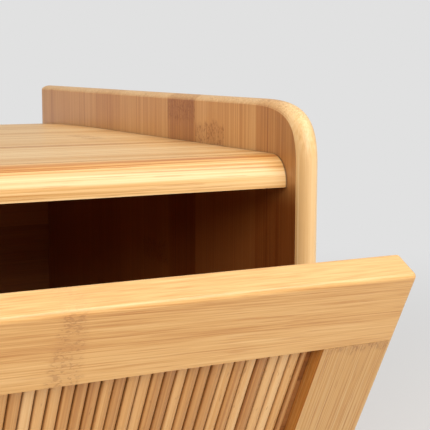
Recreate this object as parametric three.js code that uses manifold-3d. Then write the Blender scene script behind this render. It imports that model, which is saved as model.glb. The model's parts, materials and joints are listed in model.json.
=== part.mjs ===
// Bamboo bread box with a framed, reed-panelled door that drops forward on pins in the side panels.
// Millimetres, +X to the right, +Y to the back, +Z up. The origin is on the counter, in the middle of
// the space that the box takes with its door ajar.
import * as THREE from "three";
import { mergeVertices } from "three/addons/utils/BufferGeometryUtils.js";
import Module from "manifold-3d";

const wasm = await Module();
wasm.setup();

// ---- Driving dimensions ---------------------------------------------------------------------------

// Cabinet
const insideWidth = 382; // between the two side panels
const insideHeight = 146; // from the bottom board up to the shelf
const panelDepth = 291; // a side panel from front to back
const panelThickness = 9;
const panelRise = 20.5; // how far the side panels stand above the shelf's top
const panelFrontReach = 10.9; // how far the side panels stand in front of the shelf
const frontCrown = 4.8; // how far a side panel's front edge bulges between its two faces
const topCrown = 2.4; // the same along its top edge
const crownTurnDegrees = 65; // how far an edge's crown has turned where it meets a face
const panelBackEase = 1; // small round on a side panel's back and bottom edges
const panelBackCorner = 2.5; // radius of a side panel's top back corner
const cornerDrop = 24; // height that the curved top front corner takes
const cornerRun = 40; // depth that the curved top front corner takes
const cornerSweep = 22; // handle of that curve along the top edge: longer is a gentler fall
const boardThickness = 12; // shelf and bottom board
const shelfNoseRadius = 10.2; // quarter round on the shelf's top front edge
const shelfBackRadius = 3;
const shelfFall = 2.1; // how far the shelf's top curves down at its back edge
const shelfFallRun = 90; // depth over which it curves down
const backThickness = 6;
const backRecess = 2; // from the back panel to the back edges of the boards round it
const backGrooveDepth = 4;

// Door
const doorThickness = 12;
const doorAjarDegrees = 27.7; // how far the door leans forward from shut
const doorOverlap = 1.8; // how far the shut door reaches up in front of the shelf's edge
const doorEdgeRound = 1.5; // round on the ends of the door
const doorCornerRound = 1.7; // round on the door's long edges
const hingeFromBack = 3; // from the hinge axis to the door's back face, and to its bottom edge
const railHeight = 26.8;
const stileWidth = 27;
const backingThickness = 2.5;
const backingSetBack = 5.5; // from the door's front face to the backing board's front face
const frameGrooveDepth = 5;
const reedRise = 1.7; // crown of a reed above the groove beside it
const reedEdge = 0.9; // thickness of a reed at its edges
const reedPitchWanted = 4;
const reedStripCount = 9;

// Fittings
const footHeight = 3;
const footRadius = 9;
const footInset = 24; // from a foot's centre to the inside of the side panel, and to the front or the back
const screwLength = 38;
const screwShankRadius = 2;
const screwHeadRadius = 3.8;
const screwHeadDepth = 2.6;
const screwSocketRadius = 1.75; // across the corners of the six-sided socket, halved
const screwSocketDepth = 1.6;
const screwFromFront = 45; // from the shelf's front face to the front screws
const screwFromBack = 45; // from the cabinet's back to the back screws
const hingePinRadius = 1.5;
const hingePinLength = 24;
const hingePinInPanel = 6;
const washerRadius = 2.7;
const washerThickness = 0.5;
const dowelRadius = 2.5;
const dowelLength = 24;
const dowelSpacing = 9.5;

// Clearances
const doorSideGap = 0.8; // door to side panel
const doorBottomGap = 0.8; // fully open door's front face above the side panels' bottom edge
const doorBackGap = 0.3; // shut door's back face to the front edges of the shelf and the bottom board
const glueGap = 0.1; // joint line between glued pieces
const grooveGap = 0.3; // a board's edge in its groove, at the groove's bottom
const grooveSideGap = 0.2; // a board's faces in its groove
const holeGap = 0.3; // behind a pin, dowel or screw in its hole
const screwGap = 0.1; // round a screw
const dowelGap = 0.1; // round a dowel
const pinGap = 0.02; // round a hinge pin in the door
const pinRunningGap = 0.08; // round a hinge pin in the side panel
const reedEndGap = 0.4; // reed ends to the rails
const reedSideGap = 1.2; // first and last reed to the stiles

// Working allowances
const cutPast = 1; // how far a cutting shape goes on past the face it cuts
const weldDistance = 1e-4; // corners closer than this are one corner

// Smoothness of round work, in segments
const edgeSteps = 4;
const crownSteps = 16;
const noseSteps = 12;
const cornerSteps = 28;
const barrelSteps = 10;
const pinSides = 32;
const screwSides = 24;
const socketSides = 6;
const dowelSides = 16;
const footSides = 40;
const reedSteps = 6;

// ---- Places that follow from the driving dimensions --------------------------------------------------
// Before the last lines of this file, Y is counted from the shelf's front face.

const halfInside = insideWidth / 2;
const panelFront = -panelFrontReach;
const panelBack = panelFront + panelDepth;
const panelBottom = footHeight;
const bottomTop = panelBottom + boardThickness;
const shelfUnderside = bottomTop + insideHeight;
const shelfTop = shelfUnderside + boardThickness;
const panelTop = shelfTop + panelRise;
const backRear = panelBack - backRecess;
const backFront = backRear - backThickness;

// The door's faces and edges, counted from the hinge axis.
const doorBack = hingeFromBack;
const doorFront = doorBack - doorThickness;
const hingeY = -doorBackGap - doorBack;
const hingeZ = panelBottom + doorBottomGap - doorFront;
const doorTop = shelfUnderside + doorOverlap - hingeZ;
const doorBottom = -hingeFromBack;
const doorMiddle = (doorFront + doorBack) / 2;
const halfDoor = halfInside - doorSideGap;
const ajar = THREE.MathUtils.degToRad(doorAjarDegrees);

const openingTop = doorTop - railHeight; // opening in the door's frame
const openingBottom = doorBottom + railHeight;
const halfOpening = halfDoor - stileWidth;
const backingFront = doorFront + backingSetBack;

const screwSeats = [
  { name: "shelf_front", y: screwFromFront, z: shelfUnderside + boardThickness / 2 },
  { name: "shelf_back", y: panelBack - screwFromBack, z: shelfUnderside + boardThickness / 2 },
  { name: "bottom_front", y: screwFromFront, z: panelBottom + boardThickness / 2 },
  { name: "bottom_back", y: panelBack - screwFromBack, z: panelBottom + boardThickness / 2 },
];
const sides = [
  { name: "left", sign: -1 },
  { name: "right", sign: 1 },
];

// ---- Finishes ----------------------------------------------------------------------------------------

const bambooPanel = new THREE.MeshStandardMaterial({ color: 0xc18f5c, roughness: 0.45 });
const bambooShelf = new THREE.MeshStandardMaterial({ color: 0xdba765, roughness: 0.4 });
const bambooFrame = new THREE.MeshStandardMaterial({ color: 0xdcae73, roughness: 0.42 });
const bambooReed = new THREE.MeshStandardMaterial({ color: 0xc6935c, roughness: 0.5 });
const bambooInner = new THREE.MeshStandardMaterial({ color: 0xb58350, roughness: 0.55 });
const dowelWood = new THREE.MeshStandardMaterial({ color: 0xcaa26f, roughness: 0.7 });
const steel = new THREE.MeshStandardMaterial({ color: 0xa9abad, roughness: 0.3, metalness: 1 });
const rubber = new THREE.MeshStandardMaterial({ color: 0x2b2a29, roughness: 0.85 });
const nylon = new THREE.MeshStandardMaterial({ color: 0xe8e4da, roughness: 0.5 });

// ---- Solid helpers -----------------------------------------------------------------------------------

function toSolid(geometry) {
  const bare = geometry.index ? geometry.toNonIndexed() : geometry.clone();
  bare.deleteAttribute("normal");
  bare.deleteAttribute("uv");
  const merged = mergeVertices(bare, weldDistance);
  const vertProperties = Float32Array.from(merged.attributes.position.array);
  const triVerts = Uint32Array.from(merged.index.array);
  return new wasm.Manifold(new wasm.Mesh({ numProp: 3, vertProperties, triVerts }));
}

function toGeometry(solid) {
  const { vertProperties, triVerts } = solid.getMesh();
  const geometry = new THREE.BufferGeometry();
  geometry.setAttribute("position", new THREE.BufferAttribute(vertProperties, 3));
  geometry.setIndex(new THREE.BufferAttribute(triVerts, 1));
  return geometry;
}

function cut(geometry, ...tools) {
  let solid = toSolid(geometry);
  for (const tool of tools) {
    solid = solid.subtract(toSolid(tool));
  }
  return toGeometry(solid);
}

function common(geometry, other) {
  return toGeometry(toSolid(geometry).intersect(toSolid(other)));
}

function box([x0, x1], [y0, y1], [z0, z1]) {
  const geometry = new THREE.BoxGeometry(x1 - x0, y1 - y0, z1 - z0);
  return geometry.translate((x0 + x1) / 2, (y0 + y1) / 2, (z0 + z1) / 2);
}

// Turns an extrusion of a (Y, Z) outline so that it runs along X from startX.
const outlineToWorld = new THREE.Matrix4().makeBasis(
  new THREE.Vector3(0, 1, 0),
  new THREE.Vector3(0, 0, 1),
  new THREE.Vector3(1, 0, 0),
);

// A (Y, Z) outline extruded along X, with its two end faces' edges rounded by round.
function slabAlongX(outline, startX, width, round, curveSegments) {
  const geometry = new THREE.ExtrudeGeometry(outline, {
    depth: width - 2 * round,
    curveSegments,
    bevelEnabled: round > 0,
    bevelThickness: round,
    bevelSize: round,
    bevelOffset: -round,
    bevelSegments: edgeSteps,
  });
  return geometry.translate(0, 0, round).applyMatrix4(outlineToWorld).translate(startX, 0, 0);
}

// A solid turned round the X axis from a profile of [radius, x] points that starts and ends on the axis.
function turnedAlongX(profile, sideCount) {
  const points = profile.map(([radius, x]) => new THREE.Vector2(radius, x));
  return new THREE.LatheGeometry(points, sideCount).rotateZ(-Math.PI / 2);
}

function pinProfile(radius, length, chamfer) {
  return [
    [0, 0],
    [radius - chamfer, 0],
    [radius, chamfer],
    [radius, length - chamfer],
    [radius - chamfer, length],
    [0, length],
  ];
}

// A round hole or pin along X from x0 to x1.
function barAlongX(radius, x0, x1, y, z, sideCount) {
  const bar = new THREE.CylinderGeometry(radius, radius, x1 - x0, sideCount).rotateZ(Math.PI / 2);
  return bar.translate((x0 + x1) / 2, y, z);
}

function barAlongZ(radius, z0, z1, x, y, sideCount) {
  const bar = new THREE.CylinderGeometry(radius, radius, z1 - z0, sideCount).rotateX(Math.PI / 2);
  return bar.translate(x, y, (z0 + z1) / 2);
}

// The same shape on the other side of the box, with its faces still pointing out.
function mirroredInX(geometry) {
  const flipped = geometry.index ? geometry.toNonIndexed() : geometry.clone();
  flipped.scale(-1, 1, 1);
  const position = flipped.attributes.position;
  const corner = new THREE.Vector3();
  const other = new THREE.Vector3();
  for (let first = 0; first < position.count; first += 3) {
    corner.fromBufferAttribute(position, first + 1);
    other.fromBufferAttribute(position, first + 2);
    position.setXYZ(first + 1, other.x, other.y, other.z);
    position.setXYZ(first + 2, corner.x, corner.y, corner.z);
  }
  flipped.deleteAttribute("normal");
  return flipped;
}

function onSide(geometry, side) {
  return side.sign > 0 ? geometry : mirroredInX(geometry);
}

function addPiece(group, name, geometry, material) {
  if (!geometry.attributes.normal) {
    geometry.computeVertexNormals();
  }
  const mesh = new THREE.Mesh(geometry, material);
  mesh.name = name;
  group.add(mesh);
  return mesh;
}

// ---- Cabinet -----------------------------------------------------------------------------------------

// The crowned front and top edges of a side panel, from its bottom front to its top back, with a soft
// curve between them. Each station has its place, its direction and the depth of the crown there.
function crownedEdge() {
  const curve = new THREE.CubicBezierCurve(
    new THREE.Vector2(panelFront, panelTop - cornerDrop),
    new THREE.Vector2(panelFront, panelTop),
    new THREE.Vector2(panelFront + cornerRun - cornerSweep, panelTop),
    new THREE.Vector2(panelFront + cornerRun, panelTop),
  );
  const below = new THREE.Vector2(panelFront, panelBottom - panelThickness);
  const behind = new THREE.Vector2(panelBack + panelThickness, panelTop);
  const stations = [{ place: below, direction: new THREE.Vector2(0, 1), crown: frontCrown }];
  for (let step = 0; step <= cornerSteps; step += 1) {
    const share = step / cornerSteps;
    const crown = THREE.MathUtils.lerp(frontCrown, topCrown, THREE.MathUtils.smoothstep(share, 0, 1));
    stations.push({ place: curve.getPoint(share), direction: curve.getTangent(share), crown });
  }
  stations.push({ place: behind, direction: new THREE.Vector2(1, 0), crown: topCrown });
  return stations;
}

// A slab between the right side panel's two faces whose front and top edges are crowned. It goes on
// past the panel at the back and the bottom.
function crownedSlab() {
  const stations = crownedEdge();
  const farCorner = new THREE.Vector2(panelBack + panelThickness, panelBottom - panelThickness);
  const crownTurn = THREE.MathUtils.degToRad(crownTurnDegrees);
  const positions = [];
  const faces = [];
  const rings = [];
  for (let step = 0; step <= crownSteps; step += 1) {
    const turn = crownTurn * ((2 * step) / crownSteps - 1);
    const x = halfInside + (panelThickness / 2) * (1 + Math.sin(turn) / Math.sin(crownTurn));
    const drop = (1 - Math.cos(turn)) / (1 - Math.cos(crownTurn));
    const ring = stations.map(({ place, direction, crown }) => {
      const inward = new THREE.Vector2(direction.y, -direction.x);
      return place.clone().addScaledVector(inward, drop * crown);
    });
    ring.push(farCorner);
    rings.push(ring);
    ring.forEach((point) => positions.push(x, point.x, point.y));
  }
  const count = rings[0].length;
  for (let step = 0; step < crownSteps; step += 1) {
    for (let index = 0; index < count; index += 1) {
      const next = (index + 1) % count;
      const [near, nearNext] = [step * count + index, step * count + next];
      const [far, farNext] = [near + count, nearNext + count];
      faces.push(near, farNext, nearNext, near, far, farNext);
    }
  }
  for (const [step, outward] of [[0, -1], [crownSteps, 1]]) {
    const ring = rings[step];
    for (const [a, b, c] of THREE.ShapeUtils.triangulateShape(ring, [])) {
      const turnsOutward = THREE.ShapeUtils.area([ring[a], ring[b], ring[c]]) * outward > 0;
      const [second, third] = turnsOutward ? [b, c] : [c, b];
      faces.push(step * count + a, step * count + second, step * count + third);
    }
  }
  const geometry = new THREE.BufferGeometry();
  geometry.setAttribute("position", new THREE.Float32BufferAttribute(positions, 3));
  geometry.setIndex(faces);
  return geometry;
}

// Limits of a side panel at its back and its bottom, where its edges are only eased.
function panelBackOutline() {
  const outline = new THREE.Shape();
  const before = panelFront - panelThickness;
  outline.moveTo(before, panelBottom);
  outline.lineTo(panelBack, panelBottom);
  outline.lineTo(panelBack, panelTop - panelBackCorner);
  outline.absarc(
    panelBack - panelBackCorner, panelTop - panelBackCorner, panelBackCorner, 0, Math.PI / 2, false,
  );
  outline.lineTo(before, panelTop);
  outline.closePath();
  return outline;
}

// Room for a countersunk screw, its head flush with the outside of the right side panel.
function screwHole(seat) {
  const outside = halfInside + panelThickness;
  const hole = turnedAlongX(
    [
      [0, -screwLength - holeGap],
      [screwShankRadius + screwGap, -screwLength - holeGap],
      [screwShankRadius + screwGap, -screwHeadDepth],
      [screwHeadRadius + screwGap, 0],
      [screwHeadRadius + screwGap, cutPast],
      [0, cutPast],
    ],
    screwSides,
  );
  return hole.translate(outside, seat.y, seat.z);
}

function rightSidePanel() {
  const eased = slabAlongX(panelBackOutline(), halfInside, panelThickness, panelBackEase, edgeSteps);
  const groove = box(
    [halfInside - cutPast, halfInside + backGrooveDepth],
    [backFront - grooveSideGap, backRear + grooveSideGap],
    [bottomTop - backGrooveDepth, shelfUnderside + backGrooveDepth],
  );
  const pinHole = barAlongX(
    hingePinRadius + pinRunningGap,
    halfInside - cutPast, halfInside + hingePinInPanel + holeGap,
    hingeY, hingeZ, pinSides,
  );
  return cut(common(crownedSlab(), eased), groove, pinHole, ...screwSeats.map(screwHole));
}

function shelfOutline() {
  const outline = new THREE.Shape();
  const backTop = shelfTop - shelfFall;
  outline.moveTo(0, shelfUnderside);
  outline.lineTo(panelBack, shelfUnderside);
  outline.lineTo(panelBack, backTop - shelfBackRadius);
  outline.absarc(
    panelBack - shelfBackRadius, backTop - shelfBackRadius, shelfBackRadius, 0, Math.PI / 2, false,
  );
  outline.quadraticCurveTo(panelBack - shelfFallRun / 2, shelfTop, panelBack - shelfFallRun, shelfTop);
  outline.absarc(
    shelfNoseRadius, shelfTop - shelfNoseRadius, shelfNoseRadius, Math.PI / 2, Math.PI, false,
  );
  outline.closePath();
  return outline;
}

function boardScrewHoles(board) {
  const holes = screwSeats.filter((seat) => seat.name.startsWith(board)).map(screwHole);
  return [...holes, ...holes.map(mirroredInX)];
}

// Groove across a board for the back panel, from depth z0 to z1.
function backGroove(z0, z1) {
  return box(
    [-halfInside - cutPast, halfInside + cutPast],
    [backFront - grooveSideGap, backRear + grooveSideGap],
    [z0, z1],
  );
}

function topShelf() {
  const slab = slabAlongX(shelfOutline(), -halfInside, insideWidth, 0, noseSteps);
  const groove = backGroove(shelfUnderside - cutPast, shelfUnderside + backGrooveDepth);
  return cut(slab, groove, ...boardScrewHoles("shelf"));
}

function bottomBoard() {
  const slab = box([-halfInside, halfInside], [0, panelBack], [panelBottom, bottomTop]);
  const groove = backGroove(bottomTop - backGrooveDepth, bottomTop + cutPast);
  return cut(slab, groove, ...boardScrewHoles("bottom"));
}

function backPanel() {
  const reach = backGrooveDepth - grooveGap;
  return box(
    [-halfInside - reach, halfInside + reach],
    [backFront, backRear],
    [bottomTop - reach, shelfUnderside + reach],
  );
}

function carcassScrew() {
  const screw = turnedAlongX(
    [
      [0, -screwLength],
      [screwShankRadius / 2, -screwLength],
      [screwShankRadius, -screwLength + 2 * screwShankRadius],
      [screwShankRadius, -screwHeadDepth],
      [screwHeadRadius, 0],
      [0, 0],
    ],
    screwSides,
  );
  const socket = barAlongX(screwSocketRadius, -screwSocketDepth, cutPast, 0, 0, socketSides);
  return cut(screw, socket);
}

function rubberFoot() {
  const chamfer = footHeight / 4;
  const profile = [
    [0, 0],
    [footRadius - chamfer, 0],
    [footRadius, chamfer],
    [footRadius, footHeight],
    [0, footHeight],
  ].map(([radius, z]) => new THREE.Vector2(radius, z));
  return new THREE.LatheGeometry(profile, footSides).rotateX(Math.PI / 2);
}

function addCabinet(group) {
  const panel = rightSidePanel();
  for (const side of sides) {
    addPiece(group, `side_panel_${side.name}`, onSide(panel.clone(), side), bambooPanel);
  }
  addPiece(group, "top_shelf", topShelf(), bambooShelf);
  addPiece(group, "bottom_board", bottomBoard(), bambooInner);
  addPiece(group, "back_panel", backPanel(), bambooInner);

  const screw = carcassScrew();
  for (const seat of screwSeats) {
    const placed = screw.clone().translate(halfInside + panelThickness, seat.y, seat.z);
    for (const side of sides) {
      addPiece(group, `screw_${seat.name}_${side.name}`, onSide(placed.clone(), side), steel);
    }
  }
  for (const side of sides) {
    for (const [end, y] of [["front", footInset], ["back", panelBack - footInset]]) {
      const foot = addPiece(group, `rubber_foot_${end}_${side.name}`, rubberFoot(), rubber);
      foot.position.set(side.sign * (halfInside - footInset), y, 0);
    }
  }
}

// ---- Door --------------------------------------------------------------------------------------------
// The door is drawn shut, with the hinge axis at y = 0, z = 0 and its front face towards -Y.

// The whole door as one rounded slab. Its bottom back edge is a quarter round about the hinge axis, so
// that it clears the bottom board as the door swings.
function doorSlab() {
  const corner = doorCornerRound;
  const outline = new THREE.Shape();
  outline.absarc(doorFront + corner, doorBottom + corner, corner, Math.PI, 1.5 * Math.PI, false);
  outline.absarc(0, 0, hingeFromBack, 1.5 * Math.PI, 2 * Math.PI, false);
  outline.absarc(doorBack - corner, doorTop - corner, corner, 0, Math.PI / 2, false);
  outline.absarc(doorFront + corner, doorTop - corner, corner, Math.PI / 2, Math.PI, false);
  outline.closePath();
  return slabAlongX(outline, -halfDoor, 2 * halfDoor, doorEdgeRound, barrelSteps);
}

// Groove round the inside of the frame that holds the backing board.
function frameGroove() {
  return box(
    [-halfOpening - frameGrooveDepth, halfOpening + frameGrooveDepth],
    [backingFront - grooveSideGap, backingFront + backingThickness + grooveSideGap],
    [openingBottom - frameGrooveDepth, openingTop + frameGrooveDepth],
  );
}

// Dowels stand upright in the joints, in pairs across each stile, clear of the backing board's groove.
function dowelPlaces() {
  const places = [];
  const nearX = halfOpening + frameGrooveDepth + (stileWidth - frameGrooveDepth - dowelSpacing) / 2;
  for (const side of sides) {
    for (const [end, z] of [["top", openingTop], ["bottom", openingBottom]]) {
      for (const [row, x] of [["inner", nearX], ["outer", nearX + dowelSpacing]]) {
        places.push({ name: `door_dowel_${end}_${side.name}_${row}`, x: side.sign * x, z });
      }
    }
  }
  return places;
}

function dowelHoles() {
  const reach = dowelLength / 2 + holeGap;
  return dowelPlaces().map(({ x, z }) =>
    barAlongZ(dowelRadius + dowelGap, z - reach, z + reach, x, doorMiddle, dowelSides),
  );
}

function pinHoles() {
  const depth = hingePinLength - hingePinInPanel - doorSideGap + holeGap;
  const hole = barAlongX(
    hingePinRadius + pinGap,
    halfDoor - depth, halfDoor + cutPast,
    0, 0, pinSides,
  );
  return [hole, mirroredInX(hole)];
}

// One member of the frame: the part of the door slab inside the given X and Z limits.
function frameMember([x0, x1], [z0, z1]) {
  const room = box([x0, x1], [-doorThickness, doorThickness], [z0, z1]);
  return cut(common(doorSlab(), room), frameGroove(), ...dowelHoles(), ...pinHoles());
}

function backingBoard() {
  const reach = frameGrooveDepth - grooveGap;
  return box(
    [-halfOpening - reach, halfOpening + reach],
    [backingFront, backingFront + backingThickness],
    [openingBottom - reach, openingTop + reach],
  );
}

// One strip of half-round reeds joined edge to edge, upright, with its flat back at y = 0.
function reedStrip(count, pitch, height) {
  const outline = new THREE.Shape();
  const halfPitch = pitch / 2;
  const radius = (halfPitch ** 2 + reedRise ** 2) / (2 * reedRise);
  const halfAngle = Math.asin(halfPitch / radius);
  const crownCentre = reedEdge + reedRise - radius;
  outline.moveTo(0, 0);
  for (let reed = 0; reed < count; reed += 1) {
    const centre = (reed + 0.5) * pitch;
    outline.absarc(
      centre, -crownCentre, radius, -Math.PI / 2 - halfAngle, -Math.PI / 2 + halfAngle, false,
    );
  }
  outline.lineTo(count * pitch, 0);
  outline.closePath();
  return new THREE.ExtrudeGeometry(outline, {
    depth: height,
    bevelEnabled: false,
    curveSegments: reedSteps,
  });
}

function addReeds(group) {
  const fieldWidth = 2 * (halfOpening - reedSideGap);
  const stripWidth = fieldWidth / reedStripCount;
  const reedsPerStrip = Math.max(1, Math.round(stripWidth / reedPitchWanted));
  const stripReeds = stripWidth - glueGap;
  const height = openingTop - openingBottom - 2 * reedEndGap;
  for (let strip = 0; strip < reedStripCount; strip += 1) {
    const geometry = reedStrip(reedsPerStrip, stripReeds / reedsPerStrip, height);
    const mesh = addPiece(group, `reed_strip_${strip + 1}`, geometry, bambooReed);
    const startX = -fieldWidth / 2 + strip * stripWidth + glueGap / 2;
    mesh.position.set(startX, backingFront - glueGap, openingBottom + reedEndGap);
  }
}

function hingeWasher() {
  const profile = [
    [hingePinRadius + pinRunningGap, 0],
    [washerRadius, 0],
    [washerRadius, washerThickness],
    [hingePinRadius + pinRunningGap, washerThickness],
    [hingePinRadius + pinRunningGap, 0],
  ];
  return turnedAlongX(profile, pinSides);
}

function addDoor(group) {
  const beyond = doorThickness;
  addPiece(
    group, "door_top_rail",
    frameMember([-halfDoor - beyond, halfDoor + beyond], [openingTop, doorTop + beyond]), bambooFrame,
  );
  addPiece(
    group, "door_bottom_rail",
    frameMember([-halfDoor - beyond, halfDoor + beyond], [doorBottom - beyond, openingBottom]),
    bambooFrame,
  );
  const stile = frameMember(
    [halfOpening, halfDoor + beyond],
    [openingBottom + glueGap, openingTop - glueGap],
  );
  for (const side of sides) {
    addPiece(group, `door_stile_${side.name}`, onSide(stile.clone(), side), bambooFrame);
  }
  addPiece(group, "door_backing_board", backingBoard(), bambooInner);
  addReeds(group);
  for (const { name, x, z } of dowelPlaces()) {
    const chamfer = dowelRadius / 5;
    const dowel = turnedAlongX(pinProfile(dowelRadius, dowelLength, chamfer), dowelSides);
    const mesh = addPiece(group, name, dowel.rotateY(-Math.PI / 2), dowelWood);
    mesh.position.set(x, doorMiddle, z - dowelLength / 2);
  }
  for (const side of sides) {
    const pin = turnedAlongX(pinProfile(hingePinRadius, hingePinLength, hingePinRadius / 5), pinSides);
    pin.translate(halfInside + hingePinInPanel - hingePinLength, 0, 0);
    addPiece(group, `hinge_pin_${side.name}`, onSide(pin, side), steel);
    const washer = hingeWasher().translate(halfDoor + (doorSideGap - washerThickness) / 2, 0, 0);
    addPiece(group, `hinge_washer_${side.name}`, onSide(washer, side), nylon);
  }
}

// ---- Assembly ----------------------------------------------------------------------------------------

const breadBox = new THREE.Group();
addCabinet(breadBox);

const door = new THREE.Group();
door.position.set(0, hingeY, hingeZ);
door.rotation.x = ajar;
addDoor(door);
breadBox.add(door);

// The leaning door's top front edge is the foremost point of the box.
const cornerY = doorFront + doorCornerRound;
const cornerZ = doorTop - doorCornerRound;
const foremost = hingeY + cornerY * Math.cos(ajar) - cornerZ * Math.sin(ajar) - doorCornerRound;
breadBox.position.y = -(foremost + panelBack) / 2;

export default breadBox;
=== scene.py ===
"""Looks of the bamboo bread box: lacquered bamboo boards, a door panel of separate half-round reeds,
steel screws and pins, rubber feet, and a pale studio round them. Everything is in metres."""
import json
import math
import random

import bpy
from mathutils import Matrix, Vector


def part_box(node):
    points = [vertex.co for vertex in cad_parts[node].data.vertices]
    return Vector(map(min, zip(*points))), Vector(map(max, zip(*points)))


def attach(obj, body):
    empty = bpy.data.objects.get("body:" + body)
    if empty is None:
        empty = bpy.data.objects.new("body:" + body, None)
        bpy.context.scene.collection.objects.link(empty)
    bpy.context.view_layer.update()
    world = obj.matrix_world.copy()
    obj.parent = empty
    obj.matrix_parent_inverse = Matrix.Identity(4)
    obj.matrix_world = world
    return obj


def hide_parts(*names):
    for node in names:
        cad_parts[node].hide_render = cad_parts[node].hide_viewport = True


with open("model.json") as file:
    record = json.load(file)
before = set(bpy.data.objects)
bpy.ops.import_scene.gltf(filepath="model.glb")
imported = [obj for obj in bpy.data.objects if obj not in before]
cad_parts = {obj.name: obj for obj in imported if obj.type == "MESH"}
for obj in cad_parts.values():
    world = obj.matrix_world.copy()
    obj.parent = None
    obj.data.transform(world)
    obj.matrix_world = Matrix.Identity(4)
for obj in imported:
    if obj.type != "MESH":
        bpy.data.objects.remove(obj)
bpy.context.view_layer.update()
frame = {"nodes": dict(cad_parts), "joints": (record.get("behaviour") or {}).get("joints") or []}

MM = 0.001
X, Y, Z = 0, 1, 2

# ---- The camera, placed from the shelf's right front bottom corner ---------------------------------
# Its place, turns and lens come from a fit to the photo's perspective.

LENS_MM = 92.03
SENSOR_MM = 36.0
CAMERA_FROM_SHELF_CORNER = Vector((-217.09, -352.02, 46.97)) * MM
CAMERA_YAW = math.radians(27.895)  # to the right of straight ahead
CAMERA_DOWN = math.radians(7.958)
CAMERA_ROLL = math.radians(0.1625)
NEAREST_SEEN = 0.01
FARTHEST_SEEN = 200.0

# ---- The light -------------------------------------------------------------------------------------

BACKDROP = (0.753, 0.753, 0.753, 1.0)
SKY_LOW = (0.24, 0.23, 0.22, 1.0)  # fill from the horizon
SKY_HIGH = (0.80, 0.79, 0.78, 1.0)  # fill from overhead
FLOOR_PALE = (0.66, 0.66, 0.66, 1.0)
FLOOR_NEAR = 0.35  # radius where the floor starts to melt into the backdrop
FLOOR_FAR = 0.9
FLOOR_REACH = 30.0
WARM_WHITE = (1.0, 0.985, 0.96)
AREA_LIGHTS = [
    # name, place, aim, width, height, watts
    ("key", (0.55, -0.75, 1.25), (0.0, -0.05, 0.15), 0.9, 0.9, 10.0),
    ("card", (-0.35, -1.15, 0.75), (0.0, -0.10, 0.14), 1.1, 0.6, 10.5),
]

# ---- Bamboo: colours, strips and marks -----------------------------------------------------------------

PALE_BAMBOO = ["b87430", "dca762", "efc283", "f6d39c"]
PALER_BAMBOO = PALE_BAMBOO[1:]
CARAMEL_BAMBOO = ["985826", "bd8043", "d29b5b", "e0b075"]
REED_BAMBOO = ["8f5626", "b97f42", "d49d5c", "e6b97f"]
STILE_BAMBOO = ["b87834", "e0a352", "f2bc70", "f7ce8c"]
# a darker palette for the boards inside the box: partly their own tone, partly painted shade for the dark
# bread space and the slots behind the reeds
INNER_SHADED_BAMBOO = ["6b3a17", "8a5122", "a36733", "b87f48"]

DASH_COLOUR = "b8702c"
KNUCKLE_COLOUR = "935624"
GLUE_COLOUR = "6f3f1b"
# painted contact shadow where the shelf meets the side panels
CONTACT_SHADOW_COLOUR = "4a2408"
CUT_END_COLOUR = "8f5a2a"
SPECK_COLOUR = "8a5222"
# painted shade in the grooves between the reeds
GROOVE_SHADE_COLOUR = "7a4318"
INSIDE_PAINTED_SHADE = (0.50, 0.31, 0.18, 1.0)  # painted shade: the bread space drawn darker and redder
SIDE_PAINTED_SHADE = (0.62, 0.45, 0.28, 1.0)  # painted shade on the stiles' narrow sides

shelf_low, shelf_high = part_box("top_shelf")
SHELF_FRONT = shelf_low.y
SHELF_UNDERSIDE = shelf_low.z
SHELF_HALF_WIDTH = shelf_high.x

# Glued strips: where each starts, its tone from 0 dark to 1 pale, and where along the grain its knuckle
# lies. All lengths are in millimetres. Starts on the panels and the shelf count from the shelf's front.
# The panels' starts from 23.6 to 191.9, except 132.0, are points of the photo that the camera fit put
# on the panel. The other entries were given one by one, some of them by rounding such points.
PANEL_STRIPS = [
    (-20.0, 0.34, 62), (23.6, 0.66, 40), (50.1, 0.60, 177), (76.2, 0.20, 187),
    (104.0, 0.62, 119), (132.0, 0.66, 55), (160.5, 0.38, 88), (191.9, 0.55, 26),
    (221.0, 0.62, 150), (250.5, 0.52, 70),
]
SHELF_STRIPS = [
    (-5.0, 0.58, -60), (2.8, 0.04, -90), (9.0, 0.46, -150), (34.0, 0.60, 20),
    (76.0, 0.14, 90), (84.0, 0.48, -20), (113.0, 0.66, 160), (141.0, 0.46, -100),
    (169.0, 0.60, 60), (197.0, 0.50, -170), (225.0, 0.64, 0), (253.0, 0.52, 120),
]
RAIL_STRIPS = [(-40.0, 0.25, 75.5)]
STRIPS_REACH = 320.0  # where the last strip ends

# Each kind of mark is noise: cells per metre along the grain and across it, its detail, and a shift
# that keeps it apart from the others.
MARKS = {
    "broad": (3.0, 170.0, 2.0, 0.0),
    "stripe": (2.5, 620.0, 1.0, 3.0),
    "fine": (9.0, 2000.0, 3.0, 5.0),
    "dash": (50.0, 1900.0, 2.0, 9.0),
    "cloud": (7.0, 26.0, 2.0, 13.0),
    "wobble": (60.0, 260.0, 1.0, 17.0),
    "squiggle": (480.0, 900.0, 2.0, 21.0),
}
SHIFT_BY_STRIP = 37.0
MIDDLE_TONE = 0.55
CLOUD_AMOUNT = 0.3
DASH_LEVELS = (0.59, 0.68)
SQUIGGLE_LEVELS = (0.5, 0.62)
SQUIGGLE_DISTORTION = 1.2
KNUCKLE_CORE = 3.0 * MM  # half the width of a knuckle's full band
KNUCKLE_REACH = 6.2 * MM  # where its band has faded out
KNUCKLE_WOBBLE = 6.0 * MM
KNUCKLE_GROUND = 0.25  # stain between a knuckle's squiggles
GLUE_HALF_WIDTH = 0.22 * MM
GLUE_CORE = 0.08 * MM
GLUE_AMOUNT = 0.35
CUT_END_CELLS = 1500.0
GRAIN_DEPTH = 0.06 * MM
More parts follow.
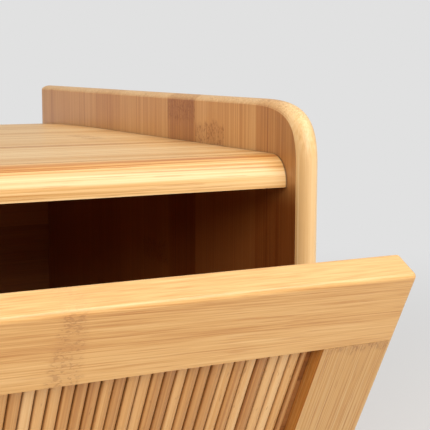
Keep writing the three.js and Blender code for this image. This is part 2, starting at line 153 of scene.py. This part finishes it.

# What each look says:
# grain, across: the axis that the fibres follow, and the axis across the glued strips.
# strips and origin, or width, start and seed: strips from a list, or of one width and coloured by chance.
# palette: colours from dark to pale. tone: how far strips differ in them.
# broad, stripe, fine, dash, knuckle: how strongly each kind of mark shows.
# period: how far apart knuckles are, in metres. run: how many times shorter fine fibres are.
# slope: how far all marks slant through the board.
# rough, coat: how the surface shines. on_door: the board turns with the door.
# the five changes of tone that edge_tones explains: a paler top, a paler front edge, painted shade inside
# the bread space, a painted contact shadow at the shelf's ends, and painted shade on the stiles' sides.
LOOKS = {
    "side_panel": dict(
        grain=Z, across=Y, strips=PANEL_STRIPS, origin=SHELF_FRONT, palette=CARAMEL_BAMBOO,
        tone=0.9, broad=0.25, stripe=0.5, fine=1.4, dash=0.25, knuckle=0.7, period=0.24,
        rough=0.4, coat=0.25, paler_top=0.55, pale_front=True, painted_inside_shade=True,
    ),
    "shelf": dict(
        grain=X, across=Y, strips=SHELF_STRIPS, origin=SHELF_FRONT, palette=PALE_BAMBOO,
        tone=0.9, broad=0.8, stripe=1.1, fine=1.5, dash=0.35, knuckle=0.5, period=0.46,
        rough=0.38, coat=0.25, painted_contact_shadow=True,
    ),
    "bottom": dict(
        grain=X, across=Y, width=19.0 * MM, start=0.0, palette=INNER_SHADED_BAMBOO, seed=17.0,
        tone=0.32, broad=0.3, fine=0.4, dash=0.4, knuckle=0.5, period=0.29,
        rough=0.48, coat=0.08,
    ),
    "back": dict(
        grain=X, across=Z, width=21.0 * MM, start=6.0 * MM, palette=INNER_SHADED_BAMBOO, seed=23.0,
        tone=0.32, broad=0.3, fine=0.4, dash=0.4, knuckle=0.6, period=0.27,
        rough=0.48, coat=0.08,
    ),
    "rail": dict(
        grain=X, across=Y, strips=RAIL_STRIPS, origin=0.0, palette=PALE_BAMBOO, on_door=True,
        tone=0.9, broad=0.2, stripe=0.2, fine=1.0, run=3.0, slope=0.03, dash=0.35, knuckle=0.4,
        period=0.26, rough=0.36, coat=0.25, paler_top=0.6,
    ),
    "stile": dict(
        grain=Z, across=Y, width=6.0 * MM, start=-9.0 * MM, palette=STILE_BAMBOO, seed=37.0,
        tone=0.1, broad=0.2, stripe=0.3, fine=2.2, dash=0.5, knuckle=0.5, period=0.30,
        rough=0.38, coat=0.25, on_door=True, painted_side_shade=True,
    ),
    "backing": dict(
        grain=X, across=Z, width=21.0 * MM, start=0.0, palette=INNER_SHADED_BAMBOO, seed=41.0,
        tone=0.32, broad=0.3, fine=0.4, dash=0.4, knuckle=0.6, period=0.27,
        rough=0.5, coat=0.08, on_door=True,
    ),
    "dowel": dict(
        grain=Z, across=X, width=50.0 * MM, start=0.0, palette=PALE_BAMBOO, seed=43.0,
        tone=0.1, broad=0.2, fine=0.4, dash=0.3, knuckle=0.0, period=0.3,
        rough=0.6, coat=0.0, on_door=True,
    ),
}

# ---- Reeds -----------------------------------------------------------------------------------------------

REED_PITCH_WANTED = 4.0 * MM
REED_RISE = 1.7 * MM
REED_EDGE = 0.9 * MM
REED_GAP = 0.12 * MM  # between neighbouring reeds
REED_FULLNESS = 0.8  # below 1 a reed's round is fuller than half an ellipse
REED_WIDTH_SPREAD = 0.12
REED_RISE_RANGE = (0.9, 1.0)
REED_EDGE_RANGE = (0.55, 0.95)
REED_LEAN = 0.06
REED_WANDER = 0.03 * MM
REED_WANDER_TURN = 7
REED_SWELL = 0.02
REED_SWELL_TURN = 9
LAST_REED_CUT = 1.5 * MM  # how much narrower the last reed is
REED_SIDES = 10
REED_ROWS = 12
REED_SEED = 7

# Noise on the reeds, as in MARKS: cells per metre along and across, its detail, and a shift.
REED_MARKS = {
    "fine": (10.0, 1500.0, 3.0, 0.0),
    "speck": (240.0, 1300.0, 2.0, 11.0),
    "cloud": (16.0, 60.0, 2.0, 7.0),
}
SHIFT_BY_REED = 41.0
SPECK_LEVELS = (0.66, 0.78)
GROOVE_SHADE_LEVELS = (0.34, 0.49)  # where the painted shade in the grooves starts and where it is full, from a reed's middle, in reed widths
REED_TONE_LOW = 0.32
REED_TONE_SPREAD = 0.62
REED_FINE_AMOUNT = 0.9
REED_CLOUD_AMOUNT = 0.3

SHARP_DEGREES = 38.0  # an edge that turns more than this stays sharp
PANEL_SHARP_DEGREES = 18.0
REED_SHARP_DEGREES = 50.0

hinge = frame["joints"][0]
HINGE_PLACE = Vector(hinge["pos_m"])
DOOR_TILT = math.radians(-hinge["range_deg"][0])

# ---- Materials -------------------------------------------------------------------------------------------


def linear(hex_colour):
    """An sRGB hex colour as a linear RGBA tuple."""
    parts = [int(hex_colour[i:i + 2], 16) / 255 for i in (0, 2, 4)]
    curved = [c / 12.92 if c <= 0.04045 else ((c + 0.055) / 1.055) ** 2.4 for c in parts]
    return (*curved, 1.0)


class Nodes:
    """Short calls for building one material's node tree."""

    def __init__(self, name):
        self.material = bpy.data.materials.new(name)
        self.material.use_nodes = True
        self.tree = self.material.node_tree
        self.tree.nodes.clear()

    def add(self, kind, **settings):
        node = self.tree.nodes.new(kind)
        for key, value in settings.items():
            setattr(node, key, value)
        return node

    def put(self, socket, value):
        if isinstance(value, bpy.types.NodeSocket):
            self.tree.links.new(value, socket)
        elif value is not None:
            socket.default_value = value

    def math(self, operation, a, b=None, c=None):
        node = self.add("ShaderNodeMath", operation=operation)
        for socket, value in zip(node.inputs, (a, b, c)):
            self.put(socket, value)
        return node.outputs[0]

    def vector_math(self, operation, a, b=None):
        node = self.add("ShaderNodeVectorMath", operation=operation)
        self.put(node.inputs[0], a)
        self.put(node.inputs[1], b)
        return node.outputs["Value" if operation in ("DOT_PRODUCT", "LENGTH") else "Vector"]

    def centred(self, value, amount):
        """A value of 0 to 1 scaled to amount, with its middle at 0."""
        return self.math("MULTIPLY_ADD", value, amount, -amount / 2)

    def flipped(self, value):
        return self.math("SUBTRACT", 1.0, value)

    def facing(self, normal, axis):
        """1 where the surface faces either way along an axis, 0 where it is side-on."""
        direction = [0.0, 0.0, 0.0]
        direction[axis] = 1.0
        return self.math("ABSOLUTE", self.vector_math("DOT_PRODUCT", normal, direction))

    def combine(self, x, y, z):
        node = self.add("ShaderNodeCombineXYZ")
        for socket, value in zip(node.inputs, (x, y, z)):
            self.put(socket, value)
        return node.outputs[0]

    def separate(self, vector):
        node = self.add("ShaderNodeSeparateXYZ")
        self.put(node.inputs[0], vector)
        return node.outputs

    def noise(self, vector, detail=2.0, scale=1.0, distortion=0.0):
        node = self.add("ShaderNodeTexNoise")
        self.put(node.inputs["Vector"], vector)
        self.put(node.inputs["Scale"], scale)
        self.put(node.inputs["Detail"], detail)
        self.put(node.inputs["Distortion"], distortion)
        return node.outputs["Fac"]

    def white(self, vector):
        """Three random numbers for each whole-number point."""
        node = self.add("ShaderNodeTexWhiteNoise", noise_dimensions="3D")
        self.put(node.inputs["Vector"], vector)
        return self.separate(node.outputs["Color"])

    def step(self, value, low, high):
        """0 at low, 1 at high, smooth between."""
        node = self.add("ShaderNodeMapRange", interpolation_type="SMOOTHSTEP")
        self.put(node.inputs["Value"], value)
        self.put(node.inputs["From Min"], low)
        self.put(node.inputs["From Max"], high)
        return node.outputs["Result"]

    def colour_ramp(self, value, stops, interpolation):
        """Stops are (position, colour)."""
        node = self.add("ShaderNodeValToRGB")
        node.color_ramp.interpolation = interpolation
        elements = node.color_ramp.elements
        while len(elements) < len(stops):
            elements.new(0.5)
        for element, (position, colour) in zip(elements, stops):
            element.position = position
            element.color = colour
        self.put(node.inputs[0], value)
        return node.outputs[0]

    def ramp(self, value, palette):
        """A palette's colours spread evenly from 0 to 1."""
        last = len(palette) - 1
        stops = [(index / last, linear(colour)) for index, colour in enumerate(palette)]
        return self.colour_ramp(value, stops, "LINEAR")

    def mix(self, share, a, b, blend_type="MIX"):
        node = self.add("ShaderNodeMix", data_type="RGBA", blend_type=blend_type)
        self.put(node.inputs[0], share)
        self.put(node.inputs[6], a)
        self.put(node.inputs[7], b)
        return node.outputs[2]

    def stain(self, share, amount, colour, hex_colour):
        """Lays a colour over another, by a share of 0 to 1 times an amount."""
        return self.mix(self.math("MULTIPLY", share, amount), colour, linear(hex_colour))

    def bump(self, height, distance, strength=1.0):
        node = self.add("ShaderNodeBump")
        self.put(node.inputs["Height"], height)
        self.put(node.inputs["Distance"], distance)
        self.put(node.inputs["Strength"], strength)
        return node.outputs[0]

    def surface(self, colour, roughness, normal, metallic=0.0, coat=0.0, coat_roughness=0.2):
        shader = self.add("ShaderNodeBsdfPrincipled")
        self.put(shader.inputs["Base Color"], colour)
        self.put(shader.inputs["Roughness"], roughness)
        self.put(shader.inputs["Metallic"], metallic)
        self.put(shader.inputs["Coat Weight"], coat)
        self.put(shader.inputs["Coat Roughness"], coat_roughness)
        self.put(shader.inputs["Normal"], normal)
        out = self.add("ShaderNodeOutputMaterial")
        self.put(out.inputs["Surface"], shader.outputs[0])
        return self.material


def board_coordinates(nodes, on_door):
    """Point and normal in the board's own frame: on the door, that is the frame of the shut door."""
    source = nodes.add("ShaderNodeTexCoord")
    if not on_door:
        return source.outputs["Object"], source.outputs["Normal"]
    found = []
    for output, origin in (("Object", HINGE_PLACE), ("Normal", None)):
        mapping = nodes.add("ShaderNodeMapping", vector_type="TEXTURE")
        nodes.put(mapping.inputs["Vector"], source.outputs[output])
        nodes.put(mapping.inputs["Location"], origin)
        nodes.put(mapping.inputs["Rotation"], (DOOR_TILT, 0.0, 0.0))
        found.append(mapping.outputs[0])
    return found


def listed_strips(nodes, across, look):
    """Three numbers for each listed strip: its tone, where its knuckle lies, and its fibres' shift."""
    chance = random.Random(len(look["strips"]))
    first = look["strips"][0][0]
    reach = STRIPS_REACH - first
    stops = []
    for start, tone, knuckle_place in look["strips"]:
        turn = (0.5 - knuckle_place * MM / look["period"]) % 1.0
        stops.append(((start - first) / reach, (tone, turn, chance.random(), 1.0)))
    share = nodes.math("SUBTRACT", across, look["origin"] + first * MM)
    share = nodes.math("DIVIDE", share, reach * MM)
    return nodes.separate(nodes.colour_ramp(share, stops, "CONSTANT"))


def even_strips(nodes, across, look):
    """The same three numbers for strips of one width, by chance, and a mask for the glue lines."""
    strips = nodes.math("DIVIDE", nodes.math("SUBTRACT", across, look["start"]), look["width"])
    chance = nodes.white(nodes.combine(nodes.math("FLOOR", strips), look["seed"], 0.5))
    from_middle = nodes.math("SUBTRACT", nodes.math("FRACT", strips), 0.5)
    glue = nodes.step(
        nodes.math("ABSOLUTE", from_middle),
        0.5 - GLUE_HALF_WIDTH / look["width"],
        0.5 - GLUE_CORE / look["width"],
    )
    return chance, glue


def knuckles(nodes, along, chance, look, marks):
    """A band across each strip, at a place of its own, filled with short squiggles."""
    turn = nodes.math("MULTIPLY_ADD", along, 1.0 / look["period"], chance[1])
    away = nodes.math("ABSOLUTE", nodes.math("SUBTRACT", nodes.math("FRACT", turn), 0.5))
    away = nodes.math("MULTIPLY", away, look["period"])
    away = nodes.math("ADD", away, nodes.centred(marks("wobble"), KNUCKLE_WOBBLE))
    band = nodes.flipped(nodes.step(away, KNUCKLE_CORE, KNUCKLE_REACH))
    squiggles = nodes.step(marks("squiggle", distortion=SQUIGGLE_DISTORTION), *SQUIGGLE_LEVELS)
    filled = nodes.math("MULTIPLY_ADD", squiggles, 1.0 - KNUCKLE_GROUND, KNUCKLE_GROUND)
    return nodes.math("MULTIPLY", band, filled)


def edge_tones(nodes, colour, tone, point, normal, look):
    """Changes of tone by which way the surface faces and where on the board it is, some of them painted
    shade.
    """
    axes = nodes.separate(point)
    if "paler_top" in look:  # faces turned up are paler
        up = nodes.step(nodes.vector_math("DOT_PRODUCT", normal, (0.0, 0.0, 1.0)), 0.3, 0.8)
        paler_colour = nodes.ramp(tone, PALER_BAMBOO)
        colour = nodes.mix(nodes.math("MULTIPLY", up, look["paler_top"]), colour, paler_colour)
    if "painted_contact_shadow" in look:  # painted contact shadow: a thin dark line where the shelf meets the side panels
        to_end = nodes.math("SUBTRACT", SHELF_HALF_WIDTH, nodes.math("ABSOLUTE", axes[X]))
        line = nodes.flipped(nodes.step(to_end, 0.2 * MM, 0.9 * MM))
        colour = nodes.stain(line, 0.85, colour, CONTACT_SHADOW_COLOUR)
    if "pale_front" in look:  # the rounded front edge is paler
        forward = nodes.vector_math("DOT_PRODUCT", normal, (0.0, -1.0, 0.0))
        on_edge = nodes.step(forward, 0.03, 0.3)
        pale = nodes.ramp(nodes.math("ADD", tone, 0.28), PALER_BAMBOO)
        colour = nodes.mix(nodes.math("MULTIPLY", on_edge, 0.9), colour, pale)
    if "painted_inside_shade" in look:  # painted shade, darker and redder, on the flat faces towards the bread space below the shelf
        above = nodes.step(axes[Z], SHELF_UNDERSIDE - 9 * MM, SHELF_UNDERSIDE + 5 * MM)
        sideways = nodes.vector_math("DOT_PRODUCT", normal, (1.0, 0.0, 0.0))
        outward = nodes.math("MULTIPLY", sideways, axes[X])
        inward = nodes.step(outward, 13 * MM - SHELF_HALF_WIDTH, 3 * MM - SHELF_HALF_WIDTH)
        inside = nodes.math("MULTIPLY", nodes.flipped(above), inward)
        colour = nodes.mix(inside, colour, INSIDE_PAINTED_SHADE, blend_type="MULTIPLY")
    if "painted_side_shade" in look:  # painted shade, darker and more orange, on the narrow sides
        on_side = nodes.step(nodes.facing(normal, X), 0.5, 0.8)
        colour = nodes.mix(on_side, colour, SIDE_PAINTED_SHADE, blend_type="MULTIPLY")
    return colour


def cut_ends(nodes, colour, point, normal, look):
    """Dots where the fibres are cut through."""
    end_share = nodes.step(nodes.facing(normal, look["grain"]), 0.55, 0.85)
    dots = nodes.step(nodes.noise(point, scale=CUT_END_CELLS), 0.52, 0.64)
    return nodes.stain(nodes.math("MULTIPLY", dots, end_share), 0.45, colour, CUT_END_COLOUR)


def bamboo(name, look):
    """Lacquered bamboo: glued strips of differing tone, fibres, short dark dashes and knuckles."""
    nodes = Nodes(name)
    point, normal = board_coordinates(nodes, "on_door" in look)
    axes = nodes.separate(point)
    third = X + Y + Z - look["grain"] - look["across"]
    along, across, through = axes[look["grain"]], axes[look["across"]], axes[third]

    glue = None
    if "strips" in look:
        chance = listed_strips(nodes, across, look)
    else:
        chance, glue = even_strips(nodes, across, look)
    if "slope" in look:
        through = nodes.math("MULTIPLY_ADD", along, look["slope"], through)

    def marks(kind, run=1.0, distortion=0.0):
        """Noise drawn out along the grain, different in each strip."""
        along_cells, across_cells, detail, shift = MARKS[kind]
        moved = nodes.math("MULTIPLY_ADD", chance[2], SHIFT_BY_STRIP, shift)
        cells = nodes.combine(
            nodes.math("MULTIPLY_ADD", along, along_cells * run, moved),
            nodes.math("MULTIPLY", across, across_cells),
            nodes.math("MULTIPLY", through, across_cells),
        )
        return nodes.noise(cells, detail=detail, distortion=distortion)

    fine = marks("fine", run=look.get("run", 1.0))
    dashes = nodes.step(marks("dash"), *DASH_LEVELS)
    knuckle = knuckles(nodes, along, chance, look, marks)

    tone = nodes.math("ADD", MIDDLE_TONE, nodes.centred(chance[0], look["tone"]))
    variations = [
        (marks("broad"), look["broad"] * 2),
        (marks("stripe"), look.get("stripe", 0.0)),
        (fine, look["fine"]),
        (marks("cloud"), CLOUD_AMOUNT),
    ]
    for value, amount in variations:
        tone = nodes.math("ADD", tone, nodes.centred(value, amount))

    colour = nodes.ramp(tone, look["palette"])
    colour = nodes.stain(dashes, look["dash"], colour, DASH_COLOUR)
    colour = nodes.stain(knuckle, look["knuckle"], colour, KNUCKLE_COLOUR)
    if glue is not None:
        colour = nodes.stain(glue, GLUE_AMOUNT, colour, GLUE_COLOUR)
    colour = edge_tones(nodes, colour, tone, point, normal, look)
    colour = cut_ends(nodes, colour, point, normal, look)

    roughness = nodes.math("MULTIPLY_ADD", fine, 0.12, look["rough"] - 0.06)
    roughness = nodes.math("MULTIPLY_ADD", knuckle, 0.08, roughness)
    height = nodes.math("MULTIPLY_ADD", dashes, -0.6, fine)
    height = nodes.math("MULTIPLY_ADD", knuckle, -0.8, height)
    if glue is not None:
        height = nodes.math("MULTIPLY_ADD", glue, -1.0, height)
    grain = nodes.bump(height, GRAIN_DEPTH, 0.6)
    return nodes.surface(colour, roughness, grain, coat=look["coat"], coat_roughness=0.22)


def reed_bamboo(pitch, first_x):
    """Half-round reeds, each with a tone of its own, with painted shade down in the grooves between them.
    """
    nodes = Nodes("bamboo_reeds")
    point, _ = board_coordinates(nodes, True)
    axes = nodes.separate(point)
    reeds = nodes.math("DIVIDE", nodes.math("SUBTRACT", axes[X], first_x), pitch)
    chance = nodes.white(nodes.combine(nodes.math("FLOOR", reeds), 5.0, 0.5))

    def marks(kind):
        """Noise drawn out along the reeds, different in each of them."""
        along_cells, across_cells, detail, shift = REED_MARKS[kind]
        moved = nodes.math("MULTIPLY_ADD", chance[2], SHIFT_BY_REED, shift)
        cells = nodes.combine(
            nodes.math("MULTIPLY", axes[X], across_cells),
            nodes.math("MULTIPLY", axes[Y], across_cells),
            nodes.math("MULTIPLY_ADD", axes[Z], along_cells, moved),
        )
        return nodes.noise(cells, detail=detail)

    fine = marks("fine")
    specks = nodes.step(marks("speck"), *SPECK_LEVELS)
    tone = nodes.math("MULTIPLY_ADD", chance[0], REED_TONE_SPREAD, REED_TONE_LOW)
    tone = nodes.math("ADD", tone, nodes.centred(fine, REED_FINE_AMOUNT))
    tone = nodes.math("ADD", tone, nodes.centred(marks("cloud"), REED_CLOUD_AMOUNT))

    from_middle = nodes.math("SUBTRACT", nodes.math("FRACT", reeds), 0.5)
    groove = nodes.step(nodes.math("ABSOLUTE", from_middle), *GROOVE_SHADE_LEVELS)
    colour = nodes.ramp(tone, REED_BAMBOO)
    colour = nodes.stain(specks, 0.5, colour, SPECK_COLOUR)
    # painted shade down in the grooves between reeds
    colour = nodes.stain(groove, 0.6, colour, GROOVE_SHADE_COLOUR)

    roughness = nodes.math("MULTIPLY_ADD", fine, 0.15, 0.38)
    grain = nodes.bump(nodes.math("MULTIPLY_ADD", specks, -0.5, fine), 0.07 * MM, 0.7)
    return nodes.surface(colour, roughness, grain, coat=0.12, coat_roughness=0.3)


def steel(name):
    """Zinc-plated steel with a fine turned texture and faint dull patches."""
    nodes = Nodes(name)
    point = nodes.add("ShaderNodeTexCoord").outputs["Object"]
    turned = nodes.noise(nodes.vector_math("MULTIPLY", point, (3000.0, 600.0, 600.0)))
    patches = nodes.noise(point, detail=3.0, scale=400.0)
    colour = nodes.mix(patches, linear("8f9194"), linear("c3c5c6"))
    roughness = nodes.math("MULTIPLY_ADD", patches, 0.25, 0.2)
    return nodes.surface(colour, roughness, nodes.bump(turned, 0.02 * MM, 0.5), metallic=1.0)


def rubber(name):
    """Matte black rubber with a fine grain and a little dust."""
    nodes = Nodes(name)
    point = nodes.add("ShaderNodeTexCoord").outputs["Object"]
    grain = nodes.noise(point, detail=3.0, scale=2200.0)
    dust = nodes.step(nodes.noise(point, scale=180.0), 0.5, 0.75)
    colour = nodes.stain(dust, 0.35, linear("262524"), "4b4845")
    roughness = nodes.math("MULTIPLY_ADD", grain, 0.2, 0.7)
    return nodes.surface(colour, roughness, nodes.bump(grain, 0.08 * MM, 0.7))


def nylon(name):
    """Natural nylon, faintly clouded."""
    nodes = Nodes(name)
    point = nodes.add("ShaderNodeTexCoord").outputs["Object"]
    cloud = nodes.noise(point, scale=900.0)
    colour = nodes.mix(cloud, linear("dcd6c8"), linear("efebe2"))
    roughness = nodes.math("MULTIPLY_ADD", cloud, 0.15, 0.4)
    return nodes.surface(colour, roughness, nodes.bump(cloud, 0.02 * MM))


# ---- CAD nodes: soft shading and finishes ------------------------------------------------------------


def shade_soft(piece, sharp_degrees):
    """Smooth shading that keeps flat faces flat and sharp edges sharp."""
    piece.data.shade_smooth()
    piece.data.set_sharp_from_angle(angle=math.radians(sharp_degrees))
    weighted = piece.modifiers.new("flat faces", "WEIGHTED_NORMAL")
    weighted.keep_sharp = True


MATERIALS = {name: bamboo(f"bamboo_{name}", look) for name, look in LOOKS.items()}
MATERIALS["steel"] = steel("zinc_steel")
MATERIALS["rubber"] = rubber("foot_rubber")
MATERIALS["nylon"] = nylon("washer_nylon")

# Start of the node's name, and its material.
FINISHES = [
    ("side_panel", "side_panel"),
    ("top_shelf", "shelf"),
    ("bottom_board", "bottom"),
    ("back_panel", "back"),
    ("door_top_rail", "rail"),
    ("door_bottom_rail", "rail"),
    ("door_stile", "stile"),
    ("door_backing", "backing"),
    ("door_dowel", "dowel"),
    ("screw", "steel"),
    ("hinge_pin", "steel"),
    ("hinge_washer", "nylon"),
    ("rubber_foot", "rubber"),
]

for node_name, piece in frame["nodes"].items():
    for start, finish in FINISHES:
        if node_name.startswith(start):
            piece.data.materials.clear()
            piece.data.materials.append(MATERIALS[finish])
            shade_soft(piece, PANEL_SHARP_DEGREES if finish == "side_panel" else SHARP_DEGREES)

# ---- The door's reeds, as separate half rounds ---------------------------------------------------------

strip_names = [name for name in frame["nodes"] if name.startswith("reed_strip")]
strip_names.sort(key=lambda name: int(name.split("_")[-1]))


def strip_box(name):
    """(lowest, highest) corner of a strip in the frame of the shut door, with the hinge at its origin."""
    turn = Matrix.Rotation(-DOOR_TILT, 3, "X")
    points = [turn @ (vertex.co - HINGE_PLACE) for vertex in frame["nodes"][name].data.vertices]
    low = Vector([min(point[axis] for point in points) for axis in (X, Y, Z)])
    high = Vector([max(point[axis] for point in points) for axis in (X, Y, Z)])
    return low, high


strip_boxes = {name: strip_box(name) for name in strip_names}
reeds_start = strip_boxes[strip_names[0]][0].x
reeds_end = strip_boxes[strip_names[-1]][1].x
strip_pitch = (reeds_end - reeds_start) / len(strip_names)
reeds_per_strip = max(1, round(strip_pitch / REED_PITCH_WANTED))
reed_pitch = strip_pitch / reeds_per_strip
MATERIALS["reed"] = reed_bamboo(reed_pitch, reeds_start)


def reed_section(width, rise, edge):
    """(x, depth towards the front) points round one reed, flat at the back."""
    half = width / 2
    points = [(-half, 0.0)]
    for step in range(REED_SIDES + 1):
        angle = math.pi * step / REED_SIDES
        points.append((-half * math.cos(angle), edge + rise * math.sin(angle) ** REED_FULLNESS))
    points.append((half, 0.0))
    return points


def add_reed(vertices, faces, centre_x, width, back_y, low_z, high_z, chance):
    """Appends one closed reed, slightly uneven along its length, in the shut door's frame."""
    width = width - REED_GAP - chance.uniform(0.0, REED_WIDTH_SPREAD) * MM
    rise = REED_RISE * chance.uniform(*REED_RISE_RANGE)
    edge = REED_EDGE * chance.uniform(*REED_EDGE_RANGE)
    lean = chance.uniform(-REED_LEAN, REED_LEAN) * MM
    phase = chance.uniform(0, 2 * math.pi)
    section = reed_section(width, rise, edge)
    first = len(vertices)
    count = len(section)
    for row in range(REED_ROWS + 1):
        share = row / REED_ROWS
        z = low_z + (high_z - low_z) * share
        wander = lean * (2 * share - 1) + REED_WANDER * math.sin(phase + REED_WANDER_TURN * share)
        swell = 1.0 - REED_SWELL * (1 + math.sin(phase * 2 + REED_SWELL_TURN * share))
        for x, depth in section:
            vertices.append(Vector((centre_x + wander + x * swell, back_y - depth * swell, z)))
    for row in range(REED_ROWS):
        low_ring = first + row * count
        high_ring = low_ring + count
        for side in range(count):
            following = (side + 1) % count
            faces.append((low_ring + side, low_ring + following, high_ring + following, high_ring + side))
    top_ring = first + REED_ROWS * count
    faces.append(tuple(first + side for side in reversed(range(count))))
    faces.append(tuple(top_ring + side for side in range(count)))


def add_reed_strip(name, chance):
    low, high = strip_boxes[name]
    vertices, faces = [], []
    for reed in range(reeds_per_strip):
        centre_x = low.x + (high.x - low.x) * (reed + 0.5) / reeds_per_strip
        width = reed_pitch
        if centre_x + reed_pitch > reeds_end:  # the last reed was split to fit
            width -= LAST_REED_CUT
            centre_x -= LAST_REED_CUT / 2
        add_reed(vertices, faces, centre_x, width, high.y, low.z, high.z, chance)
    turn = Matrix.Rotation(DOOR_TILT, 3, "X")
    mesh = bpy.data.meshes.new(name.replace("reed_strip", "reeds"))
    mesh.from_pydata([turn @ vertex + HINGE_PLACE for vertex in vertices], [], faces)
    mesh.validate()
    mesh.materials.append(MATERIALS["reed"])
    mesh.shade_smooth()
    mesh.set_sharp_from_angle(angle=math.radians(REED_SHARP_DEGREES))
    piece = bpy.data.objects.new(mesh.name, mesh)
    bpy.context.scene.collection.objects.link(piece)
    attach(piece, "door")
    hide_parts(name)


reed_chance = random.Random(REED_SEED)
for strip_name in strip_names:
    add_reed_strip(strip_name, reed_chance)

# ---- Studio --------------------------------------------------------------------------------------------


def floor_material():
    """Pale floor that melts into the backdrop away from the object."""
    nodes = Nodes("studio_floor")
    point = nodes.add("ShaderNodeTexCoord").outputs["Object"]
    far = nodes.step(nodes.vector_math("LENGTH", point), FLOOR_NEAR, FLOOR_FAR)
    diffuse = nodes.add("ShaderNodeBsdfDiffuse")
    nodes.put(diffuse.inputs["Color"], FLOOR_PALE)
    glow = nodes.add("ShaderNodeEmission")
    nodes.put(glow.inputs["Color"], BACKDROP)
    mixed = nodes.add("ShaderNodeMixShader")
    nodes.put(mixed.inputs[0], far)
    nodes.put(mixed.inputs[1], diffuse.outputs[0])
    nodes.put(mixed.inputs[2], glow.outputs[0])
    out = nodes.add("ShaderNodeOutputMaterial")
    nodes.put(out.inputs["Surface"], mixed.outputs[0])
    return nodes.material


def add_floor():
    mesh = bpy.data.meshes.new("floor")
    reach = FLOOR_REACH
    corners = [(-reach, -reach, 0), (reach, -reach, 0), (reach, reach, 0), (-reach, reach, 0)]
    mesh.from_pydata(corners, [], [(0, 1, 2, 3)])
    mesh.materials.append(floor_material())
    piece = bpy.data.objects.new("floor", mesh)
    bpy.context.scene.collection.objects.link(piece)


def add_area_light(name, place, aim, width, height, watts):
    data = bpy.data.lights.new(name, "AREA")
    data.shape = "RECTANGLE"
    data.size = width
    data.size_y = height
    data.energy = watts
    data.color = WARM_WHITE
    light = bpy.data.objects.new(name, data)
    light.location = place
    light.rotation_mode = "QUATERNION"
    light.rotation_quaternion = (Vector(aim) - Vector(place)).to_track_quat("-Z", "Y")
    light.visible_camera = False
    bpy.context.scene.collection.objects.link(light)


def set_world():
    """A soft fill from all round. What the camera sees behind the object is the plain backdrop."""
    world = bpy.data.worlds.new("studio")
    bpy.context.scene.world = world
    world.use_nodes = True
    tree = world.node_tree
    tree.nodes.clear()
    direction = tree.nodes.new("ShaderNodeTexCoord")
    height = tree.nodes.new("ShaderNodeSeparateXYZ")
    shade = tree.nodes.new("ShaderNodeMix")
    fill = tree.nodes.new("ShaderNodeBackground")
    seen = tree.nodes.new("ShaderNodeBackground")
    path = tree.nodes.new("ShaderNodeLightPath")
    mixed = tree.nodes.new("ShaderNodeMixShader")
    out = tree.nodes.new("ShaderNodeOutputWorld")
    shade.data_type = "RGBA"
    shade.inputs[6].default_value = SKY_LOW
    shade.inputs[7].default_value = SKY_HIGH
    seen.inputs["Color"].default_value = BACKDROP
    tree.links.new(direction.outputs["Generated"], height.inputs[0])
    tree.links.new(height.outputs["Z"], shade.inputs[0])
    tree.links.new(shade.outputs[2], fill.inputs["Color"])
    tree.links.new(path.outputs["Is Camera Ray"], mixed.inputs[0])
    tree.links.new(fill.outputs[0], mixed.inputs[1])
    tree.links.new(seen.outputs[0], mixed.inputs[2])
    tree.links.new(mixed.outputs[0], out.inputs["Surface"])


def add_camera():
    corner = Vector((shelf_high.x, shelf_low.y, shelf_low.z))
    forward = Vector((
        math.sin(CAMERA_YAW) * math.cos(CAMERA_DOWN),
        math.cos(CAMERA_YAW) * math.cos(CAMERA_DOWN),
        -math.sin(CAMERA_DOWN),
    ))
    level_right = Vector((math.cos(CAMERA_YAW), -math.sin(CAMERA_YAW), 0.0))
    level_up = level_right.cross(forward)
    right = level_right * math.cos(CAMERA_ROLL) + level_up * math.sin(CAMERA_ROLL)
    up = right.cross(forward)
    data = bpy.data.cameras.new("camera")
    data.lens = LENS_MM
    data.sensor_width = SENSOR_MM
    data.clip_start = NEAREST_SEEN
    data.clip_end = FARTHEST_SEEN
    camera = bpy.data.objects.new("camera", data)
    bpy.context.scene.collection.objects.link(camera)
    axes = Matrix((right, up, -forward)).transposed()
    camera.matrix_world = Matrix.Translation(corner + CAMERA_FROM_SHELF_CORNER) @ axes.to_4x4()
    bpy.context.scene.camera = camera


add_floor()
set_world()
for light_settings in AREA_LIGHTS:
    add_area_light(*light_settings)
add_camera()
bpy.context.scene.view_settings.view_transform = "Standard"
